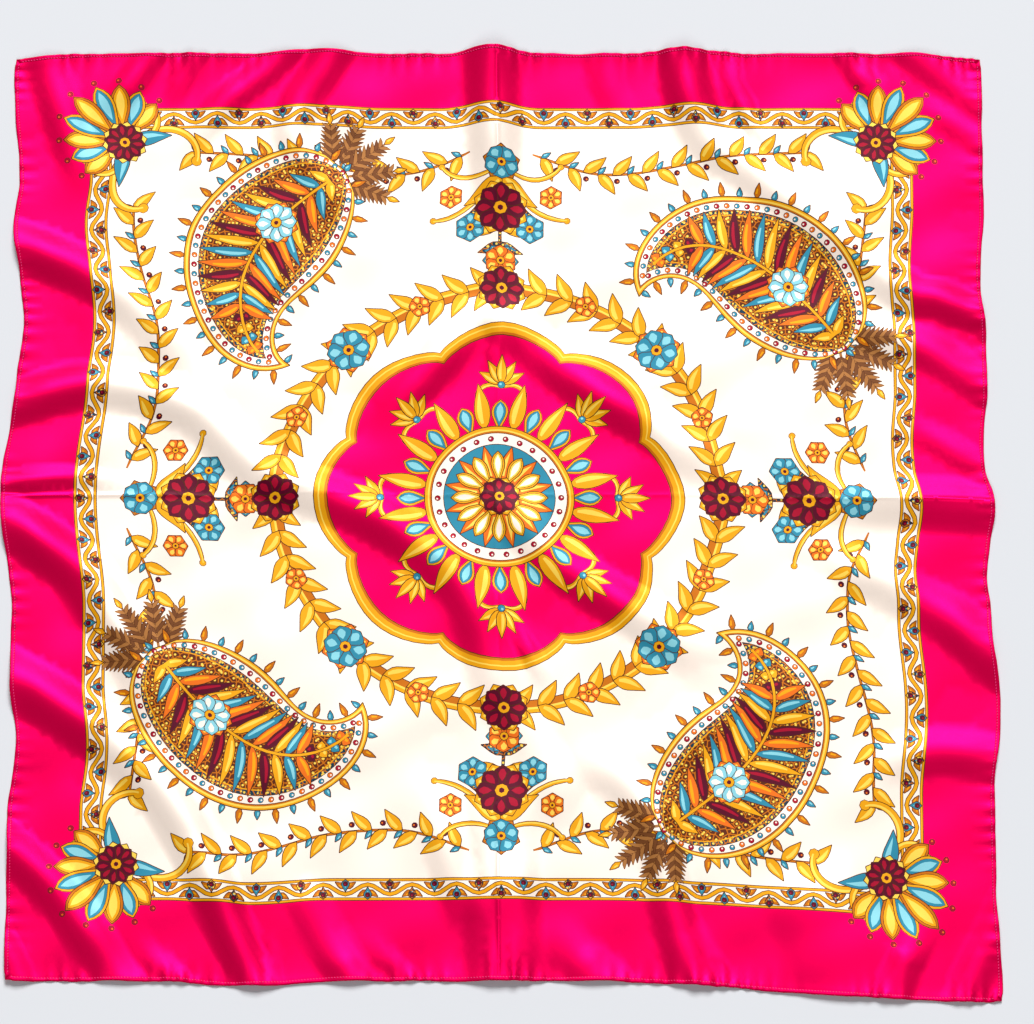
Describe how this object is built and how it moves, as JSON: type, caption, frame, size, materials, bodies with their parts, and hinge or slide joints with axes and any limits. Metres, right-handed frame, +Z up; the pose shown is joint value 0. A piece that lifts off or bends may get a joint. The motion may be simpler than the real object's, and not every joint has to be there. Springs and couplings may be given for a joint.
{
  "type": "silk square scarf",
  "caption": "Square printed satin scarf laid out flat on a surface, with soft folds, creases from folding and stitched hems.",
  "frame": {"origin": "on the surface that the scarf lies on, under the middle of the laid scarf", "axes": "+Z up from the surface, +Y away from the viewer, towards the scarf's back edge, +X to the viewer's right"},
  "size_m": [0.9086, 0.9098, 0.0127],
  "materials": {
    "printed_satin": "printed silk satin, soft gloss",
    "hem_satin": "rolled and stitched silk satin, soft gloss",
    "hem_thread": "fine sewing thread"
  },
  "bodies": {
    "root": {"silk_square": "printed_satin", "hem_front": "hem_satin", "hem_right": "hem_satin", "hem_back": "hem_satin", "hem_left": "hem_satin"}
  },
  "joints": []
}
